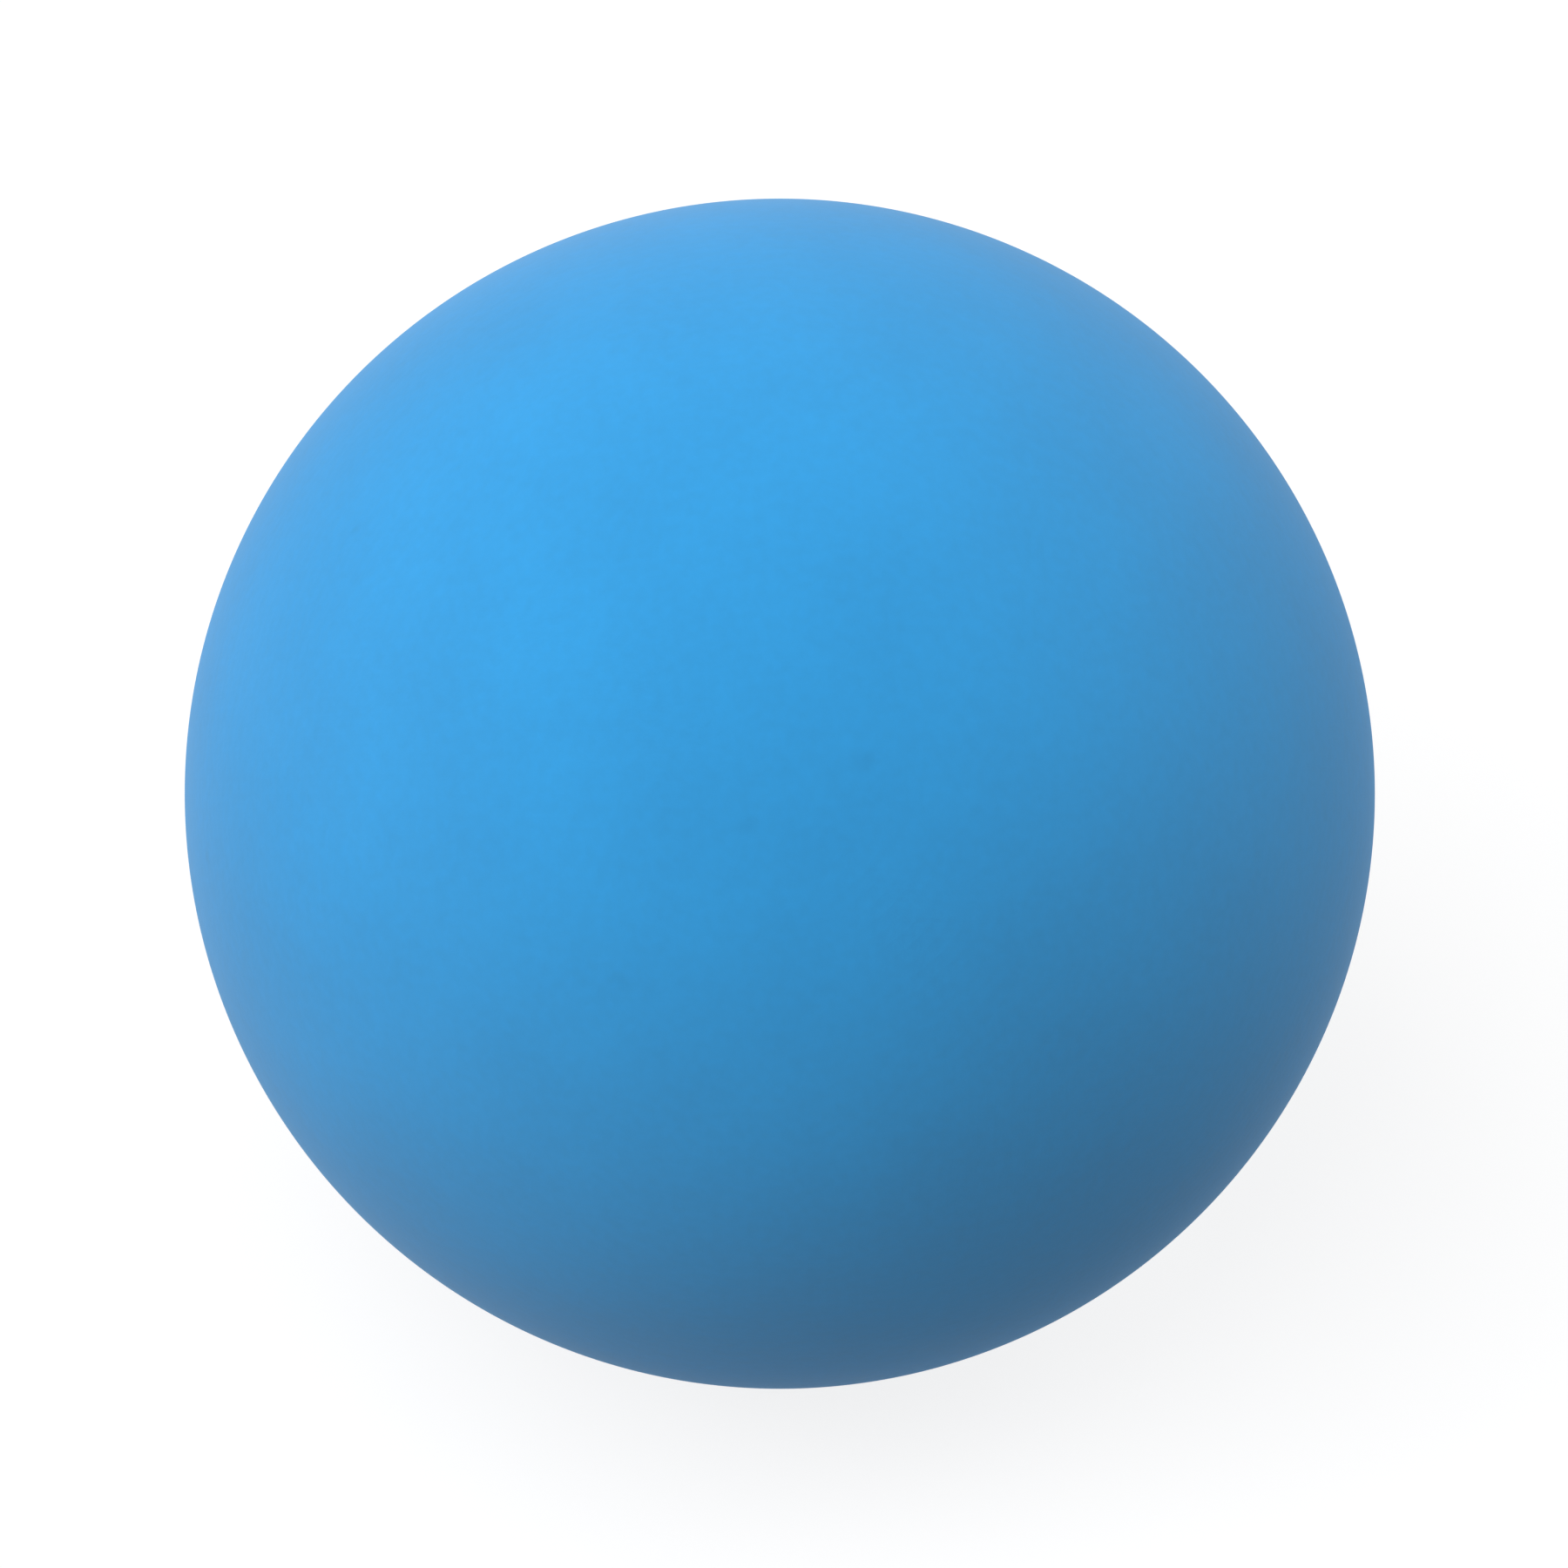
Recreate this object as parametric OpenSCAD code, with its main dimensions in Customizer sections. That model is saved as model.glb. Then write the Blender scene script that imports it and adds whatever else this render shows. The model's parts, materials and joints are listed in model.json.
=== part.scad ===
// Lacrosse ball: a solid rubber core pressed inside two moulded rubber half covers.
// The half covers meet at a parting line that was trimmed to a narrow flat land, and a low
// witness line of flash is left in the middle of that land.
// The origin is the centre of the ball, +Z is up and the viewer stands at -Y.
// Lengths are in millimetres.

/* [Ball] */
// Outside diameter, which the rules of the game keep between 62.7 and 64.7
ball_d = 63.5; // [62.7:0.1:64.7]

/* [Covers] */
// Wall of each half cover, from its cavity to the outside of the ball
cover_wall = 4; // [2:0.5:8]
// Film of cement that fills the gap between the core and the half covers
cement_film = 0.05; // [0.03:0.01:0.15]

/* [Parting line] */
// Width of the flat land that trimming leaves round the ball
land_w = 2.4; // [1.6:0.1:4]
// Width of the witness line, half of it on each cover
witness_w = 0.5; // [0.3:0.1:1]
// Height of the witness line above the land
witness_h = 0.06; // [0.04:0.01:0.2]
// Lean of the moulding axis from upright towards the viewer, as the ball lies
moulding_lean = 50; // [0:5:90]

/* [Hidden] */

$fn = 128;
ball_r = ball_d / 2;
cavity_r = ball_r - cover_wall;
core_r = cavity_r - cement_film;
// The land is a cylinder that cuts the sphere exactly at the land's two edges
land_r = sqrt(ball_r * ball_r - land_w * land_w / 4);
cut_box = 2 * ball_d;

// Everything behind the parting plane, which is z = 0 in the mould's own axes
module behind_parting_plane() {
    translate([0, 0, -cut_box / 2])
        cube(cut_box, center = true);
}

// A ball trimmed to its flat land, with half of the witness line standing on it
module trimmed_ball() {
    intersection() {
        sphere(r = ball_r);
        cylinder(r = land_r, h = cut_box, center = true);
    }
    cylinder(r = land_r + witness_h, h = witness_w, center = true);
}

// One half cover, with its rim on the parting plane and its crown towards +Z
module half_cover() {
    difference() {
        trimmed_ball();
        sphere(r = cavity_r);
        behind_parting_plane();
    }
}

// Turns the mould's axes to the way in which the ball lies
module as_it_lies() {
    rotate([moulding_lean, 0, 0])
        children();
}

// Solid core, which fills the cavity but for the film of cement
module core() {
    color("slategray")
        as_it_lies()
            sphere(r = core_r);
}

// Half cover whose crown faces the viewer
module front_cover() {
    color("#349bdd")
        as_it_lies()
            half_cover();
}

// Half cover behind the parting plane
module rear_cover() {
    color("#2f93d6")
        as_it_lies()
            mirror([0, 0, 1])
                half_cover();
}

core();
front_cover();
rear_cover();
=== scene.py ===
# %% [markdown]
# # A solid rubber ball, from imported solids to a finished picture
#
# A lacrosse ball has no air in it. It is rubber all the way through: a plain core with two coloured half
# covers pressed round it, which meet at the parting line of the mould. The solids of these three pieces are
# already made at their real size, and this lesson dresses them. Everything below stays in their frame:
# metres, +Z up, the centre of the ball at the origin, and the viewer at -Y.

import json
import math

import bmesh
import bpy
from mathutils import Matrix, Vector


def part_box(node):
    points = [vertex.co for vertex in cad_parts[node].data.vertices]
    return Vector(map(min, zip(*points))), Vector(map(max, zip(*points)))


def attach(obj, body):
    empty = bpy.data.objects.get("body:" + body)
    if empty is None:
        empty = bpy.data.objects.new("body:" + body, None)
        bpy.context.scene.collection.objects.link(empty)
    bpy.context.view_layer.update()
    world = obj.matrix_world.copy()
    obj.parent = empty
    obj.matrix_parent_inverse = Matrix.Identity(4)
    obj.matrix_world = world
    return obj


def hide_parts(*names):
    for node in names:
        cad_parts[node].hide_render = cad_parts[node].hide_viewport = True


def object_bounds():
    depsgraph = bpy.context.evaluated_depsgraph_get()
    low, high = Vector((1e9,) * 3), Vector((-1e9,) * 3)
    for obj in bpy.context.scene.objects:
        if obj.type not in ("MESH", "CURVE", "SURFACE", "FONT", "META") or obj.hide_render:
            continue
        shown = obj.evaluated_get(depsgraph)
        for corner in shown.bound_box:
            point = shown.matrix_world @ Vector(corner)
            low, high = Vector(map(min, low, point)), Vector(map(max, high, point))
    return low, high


MM = 0.001  # a millimetre, in Blender's metres

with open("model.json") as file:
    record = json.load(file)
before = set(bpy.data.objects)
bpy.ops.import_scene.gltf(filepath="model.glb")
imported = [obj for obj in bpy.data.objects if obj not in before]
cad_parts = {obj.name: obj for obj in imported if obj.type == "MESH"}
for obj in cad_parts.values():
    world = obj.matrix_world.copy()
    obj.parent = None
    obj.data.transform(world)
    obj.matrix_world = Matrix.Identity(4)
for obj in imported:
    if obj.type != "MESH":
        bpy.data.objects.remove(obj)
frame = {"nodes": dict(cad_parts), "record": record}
cad_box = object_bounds()
spans = [round((high - low) / MM, 2) for low, high in zip(*cad_box)]
print("solids:", sorted(frame["nodes"]), "spanning, in mm:", spans)

# %% [markdown]
# ## Sizes
#
# A ball's visual model is only right if it has the size of the solids, so the sizes come from them. The
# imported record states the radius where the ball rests. The lean of the moulding axis shows in the front
# cover's box, because the same circle, the rim at the parting line, makes its lowest and its rearmost point.
# The small sizes at the parting line are too fine to read from a box, so they are written here as a
# maker would write them on the drawing of the mould.

# %% The ball's sizes, in metres
ball_radius = frame["record"]["mounts"][0]["dims"]["r_mm"] * MM
front_low, front_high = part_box("front_cover")
mould_lean = math.atan2(-front_low.z, front_high.y)

cover_wall = 4.0 * MM  # from the cavity to the outside
land_width = 2.4 * MM  # the flat band that trimming leaves at the parting line
bead_width = 0.5 * MM  # the low line of flash in the middle of the band
bead_height = 0.06 * MM  # how far the flash stands above the band
nick_depth = 0.03 * MM  # the hairline on top of the flash, where one half ends and the other begins
print(f"radius {ball_radius / MM:.2f} mm, moulding axis leans {math.degrees(mould_lean):.1f} degrees")


# %% [markdown]
# ## The camera
#
# The photograph is a square with the ball in the middle. Three numbers say how it was framed: where the
# centre of the ball is, how large the ball is, and how wide the picture is, all in pixels. A sphere seen
# from close by shows a little less than half of itself, so its outline is a cone that touches it, and the
# lens follows from that cone. Only the shading hints at how high the viewer stood. The ball is brightest at
# the top, which suits a look down at it from above, and the 40 degrees are a guess.

# %% Camera
PHOTO_WIDTH = 1800
PHOTO_CENTRE = (895.2, 911.0)
PHOTO_RADIUS = 683.2
CAMERA_DISTANCE = 0.30
CAMERA_ELEVATION = math.radians(40)
SENSOR_WIDTH = 36.0

half_width = PHOTO_WIDTH / 2
outline_slope = math.tan(math.asin(ball_radius / CAMERA_DISTANCE))
half_field = outline_slope * half_width / PHOTO_RADIUS  # tangent of half the angle of view

to_camera = Vector((0, -math.cos(CAMERA_ELEVATION), math.sin(CAMERA_ELEVATION)))
camera_turn = to_camera.to_track_quat("Z", "Y").to_matrix()
camera_right, camera_up = camera_turn.col[0], camera_turn.col[1]
pixel = half_field * CAMERA_DISTANCE / half_width  # one pixel, at the distance of the ball's centre
slide_right = (half_width - PHOTO_CENTRE[0]) * pixel
slide_up = (PHOTO_CENTRE[1] - half_width) * pixel

camera_data = bpy.data.cameras.new("camera")
camera_data.sensor_width = SENSOR_WIDTH
camera_data.lens = SENSOR_WIDTH / 2 / half_field
camera = bpy.data.objects.new("camera", camera_data)
bpy.context.scene.collection.objects.link(camera)
bpy.context.scene.camera = camera
camera.matrix_world = Matrix.Translation(
    to_camera * CAMERA_DISTANCE + camera_right * slide_right + camera_up * slide_up
) @ camera_turn.to_4x4()
print(f"lens {camera_data.lens:.1f} mm, one photograph pixel is {pixel / MM:.4f} mm on the ball")


# %% [markdown]
# A picture can also place things. This helper follows a pixel of the photograph from the camera to the
# front of the ball, so that a mark seen there can be put on the rubber at the same spot.

# %% From a pixel to a point on the ball
def on_ball(across, down):
    """The point of the ball that shows at this pixel of the photograph."""
    start = camera.matrix_world.translation
    sight = (
        -to_camera * CAMERA_DISTANCE
        + camera_right * (across - half_width) * pixel
        - camera_up * (down - half_width) * pixel
    ).normalized()
    middle = -start.dot(sight)
    near = middle - math.sqrt(middle**2 - start.length_squared + ball_radius**2)
    return start + sight * near


print("the pixel at the ball's centre lands at", [round(c / MM, 2) for c in on_ball(*PHOTO_CENTRE)])


# %% [markdown]
# ## Small helpers for node trees
#
# Materials, the world and Geometry Nodes are all trees of nodes. Four helpers keep them short to write:
# `put` adds a node and feeds its inputs with numbers or with other nodes' outputs, `calc` does the same for
# one step of arithmetic, `rescale` carries a value from one range to another, and `blend` mixes two numbers
# or two colours. A Mix node has a pair of inputs for each kind of value, all under the same two names, so
# they are fed by their place in its list.

# %% Node helpers
MIX_PLACES = {"FLOAT": (2, 3, 0), "RGBA": (6, 7, 2)}  # both inputs and the output, by the kind of value


def put(tree, kind, inputs=(), **settings):
    """Adds a node, sets its properties, and feeds its inputs, named or numbered, with values or outputs."""
    made = tree.nodes.new(kind)
    for name, setting in settings.items():
        setattr(made, name, setting)
    for key, source in dict(inputs).items():
        if isinstance(source, bpy.types.NodeSocket):
            tree.links.new(source, made.inputs[key])
        else:
            made.inputs[key].default_value = source
    return made


def calc(tree, operation, *terms):
    """One step of arithmetic on numbers or outputs."""
    return put(tree, "ShaderNodeMath", enumerate(terms), operation=operation).outputs[0]


def rescale(tree, value, low, high, new_low=0.0, new_high=1.0, smooth=False):
    """Carries a value from one range to another and holds it there."""
    way = "SMOOTHSTEP" if smooth else "LINEAR"
    ranges = {"Value": value, "From Min": low, "From Max": high, "To Min": new_low, "To Max": new_high}
    return put(tree, "ShaderNodeMapRange", ranges, interpolation_type=way).outputs[0]


def blend(tree, share, one, other, kind="FLOAT"):
    """The first of two numbers or colours at a share of 0, and the second at a share of 1."""
    first, second, result = MIX_PLACES[kind]
    inputs = {"Factor": share, first: one, second: other}
    return put(tree, "ShaderNodeMix", inputs, data_type=kind).outputs[result]


print("helpers:", put.__name__, calc.__name__, rescale.__name__, blend.__name__)


# %% [markdown]
# ## The room
#
# Rubber this dull shows its light as a slow fade from the top to the underside, and that fade is most of the
# picture, so the room is made before the rubber. It could be a real studio with walls, but a pale dome all
# round does the same with less noise. The dome is an even grey for the light that falls on things, and plain
# white for the camera and for reflections, which is what a photographer's white cloth looks like when it is
# lit by itself. Light Path tells the two kinds of ray apart.
#
# Cycles can also aim extra rays straight at a bright world. Those rays never count as reflections, so a dull
# surface would miss part of the white. The aiming is switched off, and every ray finds the dome by itself.

# %% World
DOME_LEVEL = 0.107  # the light that falls on things
SEEN_LEVEL = 1.0  # what the camera and the reflections see, plain white
WHITE = (1, 1, 1, 1)

world = bpy.data.worlds.new("dome")
bpy.context.scene.world = world
world.use_nodes = True
world.cycles.sampling_method = "NONE"
sky = world.node_tree
sky.nodes.clear()


def seen_directly(tree):
    """1 for a ray from the camera, a mirror or glass, and 0 for the light that falls on things."""
    path = put(tree, "ShaderNodeLightPath").outputs
    seen = calc(tree, "MAXIMUM", path["Is Camera Ray"], path["Is Glossy Ray"])
    return calc(tree, "MAXIMUM", seen, path["Is Transmission Ray"])


level = blend(sky, seen_directly(sky), DOME_LEVEL, SEEN_LEVEL)
light = put(sky, "ShaderNodeBackground", {"Color": WHITE, "Strength": level})
put(sky, "ShaderNodeOutputWorld", {"Surface": light.outputs[0]})
print("dome at", DOME_LEVEL, "with", len(sky.nodes), "nodes")


# %% [markdown]
# The floor is a plain sheet that touches the ball at its lowest point. It returns only a little light,
# because the underside of the ball is dark in the photograph, and it shows the camera a plain white by adding
# what it lacks as emission, for direct looks and reflections only. The lamps reach less of it far out, so it
# adds more there, and its edge meets the white dome with no line between them. The shadow stays, as a pale
# grey. Seen from beneath, the sheet lets the camera through, so that the underside of the ball can be looked
# at too. No rays are aimed at its emission, for the same reason as with the dome.

# %% Floor
FLOOR_SPAN = 1.6
FLOOR_ALBEDO = 0.22
LIFT_NEAR = 0.84  # emission next to the ball, where the lamps add the rest
LIFT_FAR = 1.0
NEAR_REACH = 0.2  # the distance from the ball up to which the emission is that of LIFT_NEAR
FAR_REACH = 0.6  # the distance from which it is that of LIFT_FAR

floor_mesh = bpy.data.meshes.new("floor")
shape = bmesh.new()
bmesh.ops.create_grid(shape, x_segments=1, y_segments=1, size=FLOOR_SPAN / 2)
bmesh.ops.translate(shape, verts=shape.verts, vec=(0, 0, -ball_radius))
shape.to_mesh(floor_mesh)
shape.free()
floor = bpy.data.objects.new("floor", floor_mesh)
bpy.context.scene.collection.objects.link(floor)

paper = bpy.data.materials.new("white_floor")
paper.use_nodes = True
paper.cycles.emission_sampling = "NONE"
sheet = paper.node_tree
sheet.nodes.clear()
dull = put(sheet, "ShaderNodeBsdfDiffuse", {"Color": (FLOOR_ALBEDO,) * 3 + (1,)})
on_floor = put(sheet, "ShaderNodeTexCoord").outputs["Object"]
far_out = put(sheet, "ShaderNodeVectorMath", {0: on_floor}, operation="LENGTH").outputs["Value"]
lift = rescale(sheet, far_out, NEAR_REACH, FAR_REACH, LIFT_NEAR, LIFT_FAR, smooth=True)
lift = calc(sheet, "MULTIPLY", seen_directly(sheet), lift)
glow = put(sheet, "ShaderNodeEmission", {"Color": WHITE, "Strength": lift})
front = put(sheet, "ShaderNodeAddShader", {0: dull.outputs[0], 1: glow.outputs[0]})
from_below = calc(
    sheet,
    "MULTIPLY",
    put(sheet, "ShaderNodeNewGeometry").outputs["Backfacing"],
    put(sheet, "ShaderNodeLightPath").outputs["Is Camera Ray"],
)
clear = put(sheet, "ShaderNodeBsdfTransparent")
both = put(sheet, "ShaderNodeMixShader", {0: from_below, 1: front.outputs[0], 2: clear.outputs[0]})
put(sheet, "ShaderNodeOutputMaterial", {"Surface": both.outputs[0]})
floor_mesh.materials.append(paper)
print(f"floor of {FLOOR_SPAN} m at {-ball_radius / MM:.2f} mm")


# %% [markdown]
# Three large softboxes shape the fade. The main one stands high to the left of the viewer, a low one at the
# far left brightens that side, and a weak one behind on the right keeps the right edge from going black. A
# softbox is a square lamp, and its energy is worked out from the brightness that it should give on the ball,
# so that its level says what a white card would show. The boxes stay out of the reflections: real rubber
# with a dull skin shows no square highlight, and neither does the ball in the photograph. They stay out of
# the camera's sight too, so the ball has plain white behind it from every side.

# %% Softboxes
BOX_DISTANCE = 0.9
BOX_SIZE = 0.78
BOXES = {  # degrees to the left of the viewer, degrees of height, level on a white card
    "key_softbox": (45, 60, 0.714),
    "left_softbox": (90, 10, 0.287),
    "rear_softbox": (-120, 35, 0.300),
}


def from_here(left_of_viewer, height):
    """The direction of a thing that stands this far round to the left and this high, in degrees."""
    turn, above = math.radians(left_of_viewer), math.radians(height)
    return Vector((-math.sin(turn) * math.cos(above), -math.cos(turn) * math.cos(above), math.sin(above)))


def softbox(name, toward, distance, size, level):
    """A square area light. At level 1 it lights a white card that faces it to plain white."""
    lamp = bpy.data.lights.new(name, "AREA")
    lamp.size = size
    spread = 1 + size**2 / (math.pi * distance**2)
    lamp.energy = level * (math.pi * distance) ** 2 * spread
    made = bpy.data.objects.new(name, lamp)
    facing = toward.to_track_quat("Z", "Y").to_matrix().to_4x4()
    made.matrix_world = Matrix.Translation(toward * distance) @ facing
    bpy.context.scene.collection.objects.link(made)
    made.visible_glossy = made.visible_camera = made.visible_transmission = False
    return made


for box, (left, height, share) in BOXES.items():
    lamp = softbox(box, from_here(left, height), BOX_DISTANCE, BOX_SIZE, share)
    print(f"{box}: {lamp.data.energy:.2f} W")


# %% [markdown]
# ## A half cover, as Geometry Nodes
#
# Each half cover is a shell turned round the moulding axis: a dome, the flat land that trimming leaves, half
# of the bead of flash, and the rim where the halves meet. Turned pieces can be made with the Spin tool or a
# Screw modifier, but both crowd their faces at the pole, where a soft material shows every pinch. Geometry
# Nodes can start from a square sheet instead, whose squares one inside the other become the rings, so the
# faces stay near one size. The sizes are named inputs of the tree, and the same tree makes both halves.

# %% A group with named inputs
UNEVEN_TRIMMING = 0.6  # the most that trimming takes off the bead, as a share of its height
BEAD_SEED = 3.0


def new_group(kind, name, inputs, outputs):
    """A node group with named inputs, each a kind of socket and a first value, and named outputs."""
    tree = bpy.data.node_groups.new(name, kind)
    for label, (socket, first) in inputs.items():
        made = tree.interface.new_socket(label, in_out="INPUT", socket_type="NodeSocket" + socket)
        if first is not None:
            made.default_value = first
    for label, socket in outputs.items():
        tree.interface.new_socket(label, in_out="OUTPUT", socket_type="NodeSocket" + socket)
    return tree, tree.nodes.new("NodeGroupInput").outputs, tree.nodes.new("NodeGroupOutput")


cover_tree, given, cover_result = new_group(
    "GeometryNodeTree",
    "half cover",
    {
        "Ball radius": ("Float", ball_radius),
        "Cavity radius": ("Float", ball_radius - cover_wall),
        "Land width": ("Float", land_width),
        "Bead width": ("Float", bead_width),
        "Bead height": ("Float", bead_height),
        "Nick depth": ("Float", nick_depth),
        "Uneven trimming": ("Float", UNEVEN_TRIMMING),
        "Side": ("Float", 1.0),
        "Lean": ("Float", mould_lean),
        "Seed": ("Float", BEAD_SEED),
        "Rubber": ("Material", None),
    },
    {"Geometry": "Geometry"},
)
print("inputs:", [socket.name for socket in given if socket.name])

# %% [markdown]
# The sheet is a square grid. A point's ring is its distance from the middle along the longer side, in steps.
# Its place on the ring is an even step round the circle, counted from the middle of its side of the square:
# `atan2` gives the bearing, the nearest quarter turn is taken off, and the tangent of what is left grows
# evenly along the side. Most of the tree is such arithmetic, so it gets a short name of its own.

# %% The sheet of rings
DOME_RINGS = 70
LAND_RINGS = 10
BEAD_RINGS = 12
RIM_RINGS = 2
SHEET_SPAN = 2.0  # the sheet runs from -1 to 1 both ways
QUARTER = math.pi / 2


def measure(operation, *terms):
    """One step of arithmetic in the tree of the half cover."""
    return calc(cover_tree, operation, *terms)


rings = DOME_RINGS + LAND_RINGS + BEAD_RINGS + RIM_RINGS
points = 2 * rings + 1
across = {"Size X": SHEET_SPAN, "Size Y": SHEET_SPAN, "Vertices X": points, "Vertices Y": points}
flat = put(cover_tree, "GeometryNodeMeshGrid", across).outputs["Mesh"]

position = put(cover_tree, "GeometryNodeInputPosition").outputs[0]
place = put(cover_tree, "ShaderNodeSeparateXYZ", {0: position}).outputs
longer = measure("MAXIMUM", measure("ABSOLUTE", place["X"]), measure("ABSOLUTE", place["Y"]))
ring = measure("ROUND", measure("MULTIPLY", longer, float(rings)))

bearing = measure("ARCTAN2", place["Y"], place["X"])
side_turn = measure("MULTIPLY", measure("ROUND", measure("DIVIDE", bearing, QUARTER)), QUARTER)
step = measure("TANGENT", measure("SUBTRACT", bearing, side_turn))
around = measure("MULTIPLY_ADD", step, QUARTER / 2, side_turn)
cosine, sine = measure("COSINE", around), measure("SINE", around)
print(rings, "rings,", 8 * rings, "points round the rim")

# %% [markdown]
# Flash that was trimmed by hand stands higher in one place than in another. A four-dimensional noise read
# round the circle gives the height of the bead at each bearing, and it closes on itself. Its fourth number
# is the seed, which is the same for both halves, so they meet at one height.

# %% The height of the bead
BEAD_UNEVENNESS = {"Scale": 9.0, "Detail": 4.0, "Roughness": 0.6}
NOISE_SPAN = (0.3, 0.7)  # nearly all values of a noise lie between these two
NOISE_MIDDLE = 0.5

circle = put(cover_tree, "ShaderNodeCombineXYZ", {0: cosine, 1: sine}).outputs[0]
unevenness = {"Vector": circle, "W": given["Seed"], **BEAD_UNEVENNESS}
ragged = put(cover_tree, "ShaderNodeTexNoise", unevenness, noise_dimensions="4D").outputs["Fac"]
loss = measure("MULTIPLY", rescale(cover_tree, ragged, *NOISE_SPAN), given["Uneven trimming"])
bead_top = measure("MULTIPLY", given["Bead height"], measure("SUBTRACT", 1.0, loss))
print(f"bead: up to {bead_height / MM} mm high, trimmed down by up to {UNEVEN_TRIMMING:.0%}")

# %% [markdown]
# The profile is walked stretch by stretch, each one a share from 0 to 1 of its own rings: round the dome,
# down the flat land, over a quarter round of flash with a hairline nick at its top, and in along the rim to
# the cavity. `reach` is the distance from the moulding axis, and `rise` the height above the parting plane.

# %% The profile of a half cover
NICK_START = 0.75  # the share of the bead after which the nick begins

ends = [0, DOME_RINGS, DOME_RINGS + LAND_RINGS, DOME_RINGS + LAND_RINGS + BEAD_RINGS, rings]
dome, land, bead, rim = [rescale(cover_tree, ring, float(a), float(b)) for a, b in zip(ends, ends[1:])]

land_half = measure("MULTIPLY", given["Land width"], 0.5)
bead_half = measure("MULTIPLY", given["Bead width"], 0.5)
dome_angle = measure("ARCCOSINE", measure("DIVIDE", land_half, given["Ball radius"]))
polar = measure("MULTIPLY", dome, dome_angle)
reach = measure("MULTIPLY", measure("SINE", polar), given["Ball radius"])
rise = measure("MULTIPLY", measure("COSINE", polar), given["Ball radius"])

land_fall = measure("MULTIPLY", land, measure("SUBTRACT", land_half, bead_half))
rise = measure("SUBTRACT", rise, land_fall)

bead_turn = measure("MULTIPLY", bead, QUARTER)
bead_share = measure("SUBTRACT", 1.0, measure("COSINE", bead_turn))
rise = measure("SUBTRACT", rise, measure("MULTIPLY", bead_share, bead_half))
reach = measure("MULTIPLY_ADD", measure("SINE", bead_turn), bead_top, reach)
nick = rescale(cover_tree, bead, NICK_START, 1.0, smooth=True)
reach = measure("SUBTRACT", reach, measure("MULTIPLY", nick, given["Nick depth"]))

rim_depth = measure("MULTIPLY", rim, measure("SUBTRACT", reach, given["Cavity radius"]))
reach = measure("SUBTRACT", reach, rim_depth)
print("stretches end at rings", ends[1:])


# %% [markdown]
# Every point is then put at its reach and rise, round the moulding axis, and leaned over with it. The inner
# skin is a second sheet with the same number of points round its rim. Its faces are flipped to look into the
# cavity, and the two are welded there. The rear half is the front one with its rise turned negative, which
# also turns its faces inside out, so they are flipped back. Corners stay sharp in the shading, and the tree
# ends by giving the shell its rubber.

# %% Skins, weld and rubber
WELD = 0.001 * MM
SHARP_CORNER = math.radians(50)


def turned(skin, reach, rise):
    """Puts every ring of a skin at its reach from the moulding axis and its rise along it."""
    axes = {
        0: measure("MULTIPLY", reach, cosine),
        1: measure("MULTIPLY", reach, sine),
        2: measure("MULTIPLY", rise, given["Side"]),
    }
    spot = put(cover_tree, "ShaderNodeCombineXYZ", axes).outputs[0]
    lean = {"Vector": spot, "Angle": given["Lean"]}
    leaned = put(cover_tree, "ShaderNodeVectorRotate", lean, rotation_type="X_AXIS").outputs[0]
    return put(cover_tree, "GeometryNodeSetPosition", {"Geometry": skin, "Position": leaned}).outputs[0]


outside = turned(flat, reach, rise)
inner_turn = measure("MULTIPLY", ring, QUARTER / rings)
inside = turned(
    flat,
    measure("MULTIPLY", measure("SINE", inner_turn), given["Cavity radius"]),
    measure("MULTIPLY", measure("COSINE", inner_turn), given["Cavity radius"]),
)
inside = put(cover_tree, "GeometryNodeFlipFaces", {"Mesh": inside}).outputs[0]

joined = put(cover_tree, "GeometryNodeJoinGeometry")
for skin in (inside, outside):
    cover_tree.links.new(skin, joined.inputs[0])
welded = {"Geometry": joined.outputs[0], "Distance": WELD}
shell = put(cover_tree, "GeometryNodeMergeByDistance", welded).outputs[0]
mirrored = measure("LESS_THAN", given["Side"], 0.0)
shell = put(cover_tree, "GeometryNodeFlipFaces", {"Mesh": shell, "Selection": mirrored}).outputs[0]

corner = put(cover_tree, "GeometryNodeInputMeshEdgeAngle").outputs["Unsigned Angle"]
is_sharp = measure("GREATER_THAN", corner, SHARP_CORNER)
corners = {"Geometry": shell, "Selection": is_sharp, "Shade Smooth": False}
shell = put(cover_tree, "GeometryNodeSetShadeSmooth", corners, domain="EDGE").outputs[0]
whole = put(cover_tree, "GeometryNodeRealizeInstances", {"Geometry": shell}).outputs[0]
clad = put(cover_tree, "GeometryNodeSetMaterial", {"Geometry": whole, "Material": given["Rubber"]})
cover_tree.links.new(clad.outputs[0], cover_result.inputs["Geometry"])
print("the tree of a half cover has", len(cover_tree.nodes), "nodes")


# %% [markdown]
# ## The rubber
#
# Moulded rubber is dull, but it isn't blank. Its skin copies the mould, which was blasted with grit: a fine
# grain, and a slow ripple where the compound flowed. Pigment and the pale bloom that rises out of new rubber
# are never quite even, so the colour drifts by a hair. All of it could be painted, but noise in the
# object's own coordinates has no seams and no poles. Grain and mottle are groups, because the cover and the
# core both use them, each at its own size.

# %% Grain and ripple
def noise(tree, position, size, detail=2.0, output="Fac"):
    """Soft random variation whose blotches are about this size, in metres or from an output."""
    scale = calc(tree, "DIVIDE", 1.0, size)
    inputs = {"Vector": position, "Scale": scale, "Detail": detail}
    return put(tree, "ShaderNodeTexNoise", inputs).outputs[output]


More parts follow.
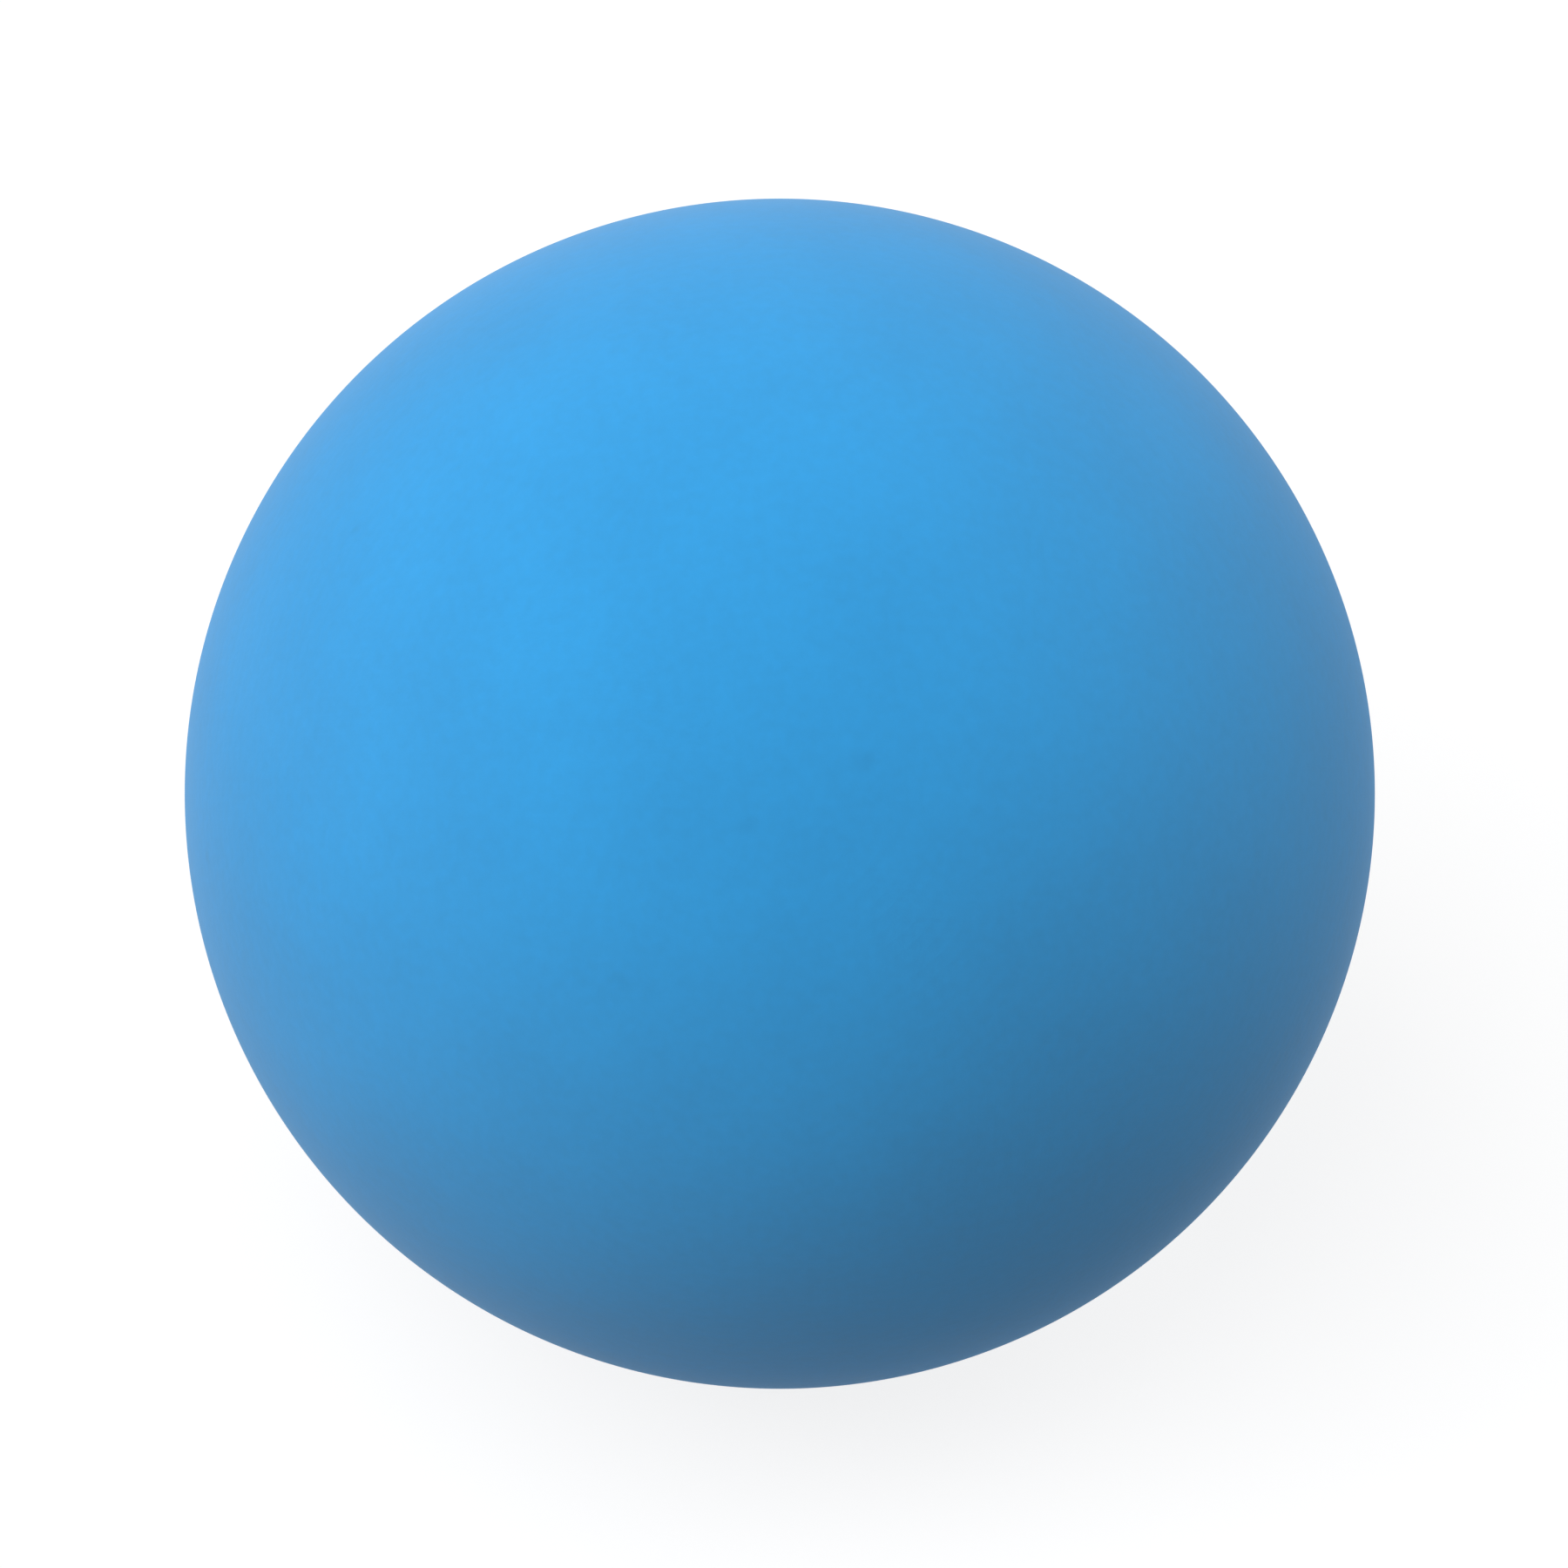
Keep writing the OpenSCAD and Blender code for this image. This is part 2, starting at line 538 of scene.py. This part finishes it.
grain_group, given, grain_result = new_group(
    "ShaderNodeTree",
    "moulded grain",
    {
        "Position": ("Vector", None),
        "Grain size": ("Float", 0.25 * MM),
        "Grain depth": ("Float", 0.002 * MM),
        "Ripple size": ("Float", 2.5 * MM),
        "Ripple depth": ("Float", 0.01 * MM),
    },
    {"Height": "Float"},
)
grain = noise(grain_group, given["Position"], given["Grain size"])
grain_height = calc(grain_group, "MULTIPLY", grain, given["Grain depth"])
ripple = noise(grain_group, given["Position"], given["Ripple size"])
height = calc(grain_group, "MULTIPLY_ADD", ripple, given["Ripple depth"], grain_height)
grain_group.links.new(height, grain_result.inputs["Height"])
print(grain_group.name, "gives a height in metres")

# %% [markdown]
# Mottle mixes a deeper and a paler tone of one colour. It takes two noises: broad clouds of pigment and
# bloom, and finer flecks within them.

# %% Mottle
mottle_group, given, mottle_result = new_group(
    "ShaderNodeTree",
    "mottle",
    {
        "Position": ("Vector", None),
        "Cloud size": ("Float", 9 * MM),
        "Fleck size": ("Float", 0.6 * MM),
        "Fleck share": ("Float", 0.4),
        "Deep tone": ("Color", (0.1, 0.1, 0.1, 1)),
        "Pale tone": ("Color", (0.2, 0.2, 0.2, 1)),
    },
    {"Color": "Color", "Paleness": "Float"},
)
clouds = noise(mottle_group, given["Position"], given["Cloud size"], detail=3.0)
flecks = noise(mottle_group, given["Position"], given["Fleck size"], detail=3.0)
mixed = blend(mottle_group, given["Fleck share"], clouds, flecks)
pale = rescale(mottle_group, mixed, *NOISE_SPAN)
tone = blend(mottle_group, pale, given["Deep tone"], given["Pale tone"], kind="RGBA")
mottle_group.links.new(tone, mottle_result.inputs["Color"])
mottle_group.links.new(pale, mottle_result.inputs["Paleness"])
print(mottle_group.name, "gives a tone and how pale it is")

# %% [markdown]
# Crumbs of other compound get into every mix. They lie all through the rubber, and the skin shows the few
# that it cuts. A Voronoi texture gives a random point for each cell of space, so a crumb is what lies within
# a small distance of that point, and each cell's random colour gives its crumb a size of its own.

# %% Crumbs in the mix
CRUMB_CORE = 0.05  # the share of a crumb's radius that has its full tone
SMALLEST_CRUMB = 0.4  # its radius, as a share of the largest one's

crumb_group, given, crumb_result = new_group(
    "ShaderNodeTree",
    "crumbs",
    {"Position": ("Vector", None), "Spacing": ("Float", 9 * MM), "Radius": ("Float", 0.4 * MM)},
    {"Mask": "Float"},
)
cells = {"Vector": given["Position"], "Scale": calc(crumb_group, "DIVIDE", 1.0, given["Spacing"])}
cell = put(crumb_group, "ShaderNodeTexVoronoi", cells).outputs
chance = put(crumb_group, "ShaderNodeSeparateColor", {0: cell["Color"]}).outputs[0]
crumb_share = rescale(crumb_group, chance, 0.0, 1.0, SMALLEST_CRUMB, 1.0)
crumb_radius = calc(crumb_group, "MULTIPLY", given["Radius"], crumb_share)
gap = calc(crumb_group, "MULTIPLY", cell["Distance"], given["Spacing"])
dark = calc(crumb_group, "MULTIPLY", crumb_radius, CRUMB_CORE)
mask = rescale(crumb_group, gap, dark, crumb_radius, 1.0, 0.0, smooth=True)
crumb_group.links.new(mask, crumb_result.inputs["Mask"])
print(crumb_group.name, "gives a mask")


# %% [markdown]
# ### Sky blue cover rubber
#
# The cover's finish is satin, with no highlight anywhere and a pale rim all round. A rough Principled
# surface gives the first, and a little sheen gives the rim: sheen is light that catches on dust and bloom
# where the surface turns away. How much it mirrors and how much sheen it has are the same all over, so they
# are set on the shader itself.

# %% The shader of a rubber
def rubber_shader(name, colour, finish):
    """A dull material, with its tree, its Principled shader, and the position on the ball."""
    made = bpy.data.materials.new(name)
    made.use_nodes = True
    made.diffuse_color = (*colour, 1)
    shader = made.node_tree.nodes["Principled BSDF"]
    for socket, amount in finish.items():
        shader.inputs[socket].default_value = amount
    return made, made.node_tree, shader, put(made.node_tree, "ShaderNodeTexCoord").outputs["Object"]


def tint(colour, change):
    """The same colour, lighter or darker by this share."""
    return (*[part * (1 + change) for part in colour], 1)


def placed(tree, group, inputs):
    """The outputs of a node group, put in a material with its own values."""
    return put(tree, "ShaderNodeGroup", inputs, node_tree=group).outputs


SKY_BLUE = (0.021, 0.349, 0.777)
BLUE_DRIFT = 0.07  # how much paler or deeper the blue gets
COVER_FINISH = {"Specular IOR Level": 0.6, "Sheen Weight": 0.13, "Sheen Roughness": 0.73}

sky_blue_rubber, skin, blue_shader, spot = rubber_shader("sky_blue_rubber", SKY_BLUE, COVER_FINISH)
mottle = placed(
    skin,
    mottle_group,
    {"Position": spot, "Deep tone": tint(SKY_BLUE, -BLUE_DRIFT), "Pale tone": tint(SKY_BLUE, BLUE_DRIFT)},
)
grain = placed(
    skin,
    grain_group,
    {
        "Position": spot,
        "Grain size": 0.22 * MM,
        "Grain depth": 0.005 * MM,
        "Ripple size": 2.4 * MM,
        "Ripple depth": 0.008 * MM,
    },
)
print(sky_blue_rubber.name, "has", len(skin.nodes), "nodes so far")

# %% [markdown]
# Flash is trimmed with the ball turning against a belt, which leaves the land a little paler and duller than
# the skin, with fine marks that run round it. A Mapping node turns the pattern into the axes of the mould,
# where the distance from the parting plane is simply Z. The marks are a noise that is stretched along the
# band by squeezing its coordinates across it, so they need no angle and have no seam.

# %% The buffed land
LAND_EDGE = 0.06 * MM  # how softly the buffed band ends
LAND_WANDER = 0.16 * MM  # how far its edge wanders
WANDER_LENGTH = 3.0 * MM
MARK_LENGTH = 2.2 * MM
MARK_WIDTH = 0.07 * MM
MARK_SPAN = (0.35, 0.65)  # the values of the noise that make the shallowest and the deepest mark
BUFFED_BLUE = (0.060, 0.385, 0.790)
BUFFED_SHARE = (0.35, 0.80)  # how much of the buffed tone shows, between the marks and in them

mould_axes = put(skin, "ShaderNodeMapping", {"Vector": spot, "Rotation": (-mould_lean, 0, 0)}).outputs[0]
plane_side = put(skin, "ShaderNodeSeparateXYZ", {0: mould_axes}).outputs["Z"]
wander = calc(skin, "SUBTRACT", noise(skin, spot, WANDER_LENGTH), NOISE_MIDDLE)
off_plane = calc(skin, "MULTIPLY_ADD", wander, LAND_WANDER, calc(skin, "ABSOLUTE", plane_side))
band_half = land_width / 2
buffed = rescale(skin, off_plane, band_half - LAND_EDGE, band_half + LAND_EDGE, 1.0, 0.0, smooth=True)

squeeze = {"Vector": mould_axes, "Scale": (1 / MARK_LENGTH, 1 / MARK_LENGTH, 1 / MARK_WIDTH)}
mark_place = put(skin, "ShaderNodeMapping", squeeze).outputs[0]
marks = put(skin, "ShaderNodeTexNoise", {"Vector": mark_place, "Scale": 1.0, "Detail": 2.0}).outputs["Fac"]
marks = rescale(skin, marks, *MARK_SPAN)
wear = calc(skin, "MULTIPLY", buffed, rescale(skin, marks, 0.0, 1.0, *BUFFED_SHARE))
colour = blend(skin, wear, mottle["Color"], (*BUFFED_BLUE, 1), kind="RGBA")
print(f"buffed band {land_width / MM} mm wide with marks {MARK_WIDTH / MM:.2f} mm apart")

# %% [markdown]
# The photograph shows five faint dark spots on the front, each soft, with no edge, and about a millimetre
# across. They are put at the very places where it shows them, by their pixels, in a darker blue. The rear
# half is never seen there, so it gets crumbs from the group, at about the same rate. A noise shakes the
# distances a little, because no spot is round.

# %% Crumbs and dark spots on the cover
DARK_SPOTS_SEEN = (  # across and down in the photograph, and radius in millimetres
    (993, 874, 0.80),
    (858, 949, 0.85),
    (714, 1129, 0.80),
    (408, 609, 0.45),
    (238, 984, 0.55),
)
STRAY_SPACING = 9.0 * MM
STRAY_RADIUS = 0.8 * MM
SHAKE = 0.6 * MM
SHAKE_SIZE = 0.7 * MM
CRUMB_TONE = tint(SKY_BLUE, -0.4)
CRUMB_STRENGTH = 0.17  # how much of that tone shows through the pigment

shaking = noise(skin, spot, SHAKE_SIZE, output="Color")
off_middle = {0: shaking, 1: (NOISE_MIDDLE,) * 3}
shaking = put(skin, "ShaderNodeVectorMath", off_middle, operation="SUBTRACT").outputs[0]
scaled = {0: shaking, 1: (SHAKE,) * 3, 2: spot}
shaken = put(skin, "ShaderNodeVectorMath", scaled, operation="MULTIPLY_ADD").outputs[0]
strays = placed(skin, crumb_group, {"Position": shaken, "Spacing": STRAY_SPACING, "Radius": STRAY_RADIUS})
crumbs = calc(skin, "MULTIPLY", strays["Mask"], calc(skin, "LESS_THAN", plane_side, 0.0))
# crumbs gathers the stray crumbs of the rear half and the dark spots seen on the front
for right, down, radius in DARK_SPOTS_SEEN:
    between = {0: shaken, 1: on_ball(right, down)}
    gap = put(skin, "ShaderNodeVectorMath", between, operation="DISTANCE").outputs["Value"]
    seen_spot = rescale(skin, gap, CRUMB_CORE * radius * MM, radius * MM, 1.0, 0.0, smooth=True)
    crumbs = calc(skin, "MAXIMUM", crumbs, seen_spot)
dotted = calc(skin, "MULTIPLY", crumbs, CRUMB_STRENGTH)
colour = blend(skin, dotted, colour, CRUMB_TONE, kind="RGBA")
skin.links.new(colour, blue_shader.inputs["Base Color"])
print(len(DARK_SPOTS_SEEN), "crumbs placed from the photograph")

# %% [markdown]
# Roughness goes up on the buffed land and a little where the mottle is pale, because bloom scatters light.
# Grain and belt marks are heights in metres, added up for one Bump node whose distance is 1, so the numbers
# above are real depths.

# %% Roughness and relief of the cover
DEEP_ROUGHNESS = 0.68
PALE_ROUGHNESS = 0.72
BUFFED_ROUGHNESS = 0.12  # what buffing adds
MARK_DEPTH = 0.006 * MM

roughness = rescale(skin, mottle["Paleness"], 0.0, 1.0, DEEP_ROUGHNESS, PALE_ROUGHNESS)
roughness = calc(skin, "MULTIPLY_ADD", buffed, BUFFED_ROUGHNESS, roughness)
skin.links.new(roughness, blue_shader.inputs["Roughness"])

on_land = calc(skin, "MULTIPLY", marks, buffed)
relief = calc(skin, "MULTIPLY_ADD", on_land, MARK_DEPTH, grain["Height"])
bump = put(skin, "ShaderNodeBump", {"Strength": 1.0, "Distance": 1.0, "Height": relief})
skin.links.new(bump.outputs[0], blue_shader.inputs["Normal"])
print(sky_blue_rubber.name, "has", len(skin.nodes), "nodes")

# %% [markdown]
# ### Dark core rubber
#
# The core is plain dark rubber that nobody sees on a whole ball, only on a cut one. It was pressed first and
# roughened so that the cover would grip it, so its grain is coarse, and ground crumbs of old rubber show in
# it. The groups are the same as on the cover, with sizes of their own.

# %% Core rubber
CORE_DARK = (0.105, 0.118, 0.125)
CORE_CRUMB = (0.24, 0.25, 0.25)
CORE_DRIFT = 0.15
CORE_ROUGHNESS = (0.78, 0.90)
CORE_FINISH = {"Specular IOR Level": 0.35, "Sheen Weight": 0.1, "Sheen Roughness": 0.6}

dark_core_rubber, inner, dark_shader, spot = rubber_shader("dark_core_rubber", CORE_DARK, CORE_FINISH)
core_mottle = placed(
    inner,
    mottle_group,
    {
        "Position": spot,
        "Cloud size": 6 * MM,
        "Fleck size": 0.9 * MM,
        "Deep tone": tint(CORE_DARK, -CORE_DRIFT),
        "Pale tone": tint(CORE_DARK, CORE_DRIFT),
    },
)
core_crumbs = placed(inner, crumb_group, {"Position": spot, "Spacing": 2.2 * MM, "Radius": 0.9 * MM})
flecked = blend(inner, core_crumbs["Mask"], core_mottle["Color"], (*CORE_CRUMB, 1), kind="RGBA")
inner.links.new(flecked, dark_shader.inputs["Base Color"])
core_roughness = rescale(inner, core_mottle["Paleness"], 0.0, 1.0, *CORE_ROUGHNESS)
inner.links.new(core_roughness, dark_shader.inputs["Roughness"])

core_grain = placed(
    inner,
    grain_group,
    {
        "Position": spot,
        "Grain size": 0.6 * MM,
        "Grain depth": 0.04 * MM,
        "Ripple size": 4.0 * MM,
        "Ripple depth": 0.05 * MM,
    },
)
core_bump = put(inner, "ShaderNodeBump", {"Strength": 1.0, "Distance": 1.0, "Height": core_grain["Height"]})
inner.links.new(core_bump.outputs[0], dark_shader.inputs["Normal"])

core_slots = frame["nodes"]["core"].data.materials
core_slots.clear()
core_slots.append(dark_core_rubber)
print(dark_core_rubber.name, "has", len(inner.nodes), "nodes")


# %% [markdown]
# ## Growing the two halves
#
# A Geometry Nodes modifier takes its values by each input's identifier. The evaluated result is copied into
# a plain mesh and the modifier goes, so what rides on the ball is an ordinary piece. The copied mesh keeps an
# empty first material slot from the unfinished object, which is dropped, so every face wears the rubber.

# %% Grow a mesh
def grown(name, tree, values):
    """A plain mesh object, grown by a Geometry Nodes tree from these values of its named inputs."""
    seedling = bpy.data.objects.new(name, bpy.data.meshes.new(name))
    bpy.context.scene.collection.objects.link(seedling)
    growth = seedling.modifiers.new("growth", "NODES")
    growth.node_group = tree
    for socket in tree.interface.items_tree:
        if socket.in_out == "INPUT":
            growth[socket.identifier] = values.get(socket.name, socket.default_value)
    evaluated = seedling.evaluated_get(bpy.context.evaluated_depsgraph_get())
    mesh = bpy.data.meshes.new_from_object(evaluated)
    seedling.modifiers.remove(growth)
    seedling.data = mesh
    mesh.name = name
    mesh.materials.clear()
    mesh.materials.append(values["Rubber"])
    return seedling


for half, side in (("front", 1.0), ("rear", -1.0)):
    cover = grown(half + "_half_cover", cover_tree, {"Side": side, "Rubber": sky_blue_rubber})
    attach(cover, "root")
    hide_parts(half + "_cover")
    triangles = sum(len(face.vertices) - 2 for face in cover.data.polygons)
    print(cover.name, len(cover.data.vertices), "points,", triangles, "triangles")

# %% [markdown]
# ## Finish
#
# The Standard view shows colours as they are written.

# %% Show colours as written
bpy.context.scene.view_settings.view_transform = "Standard"
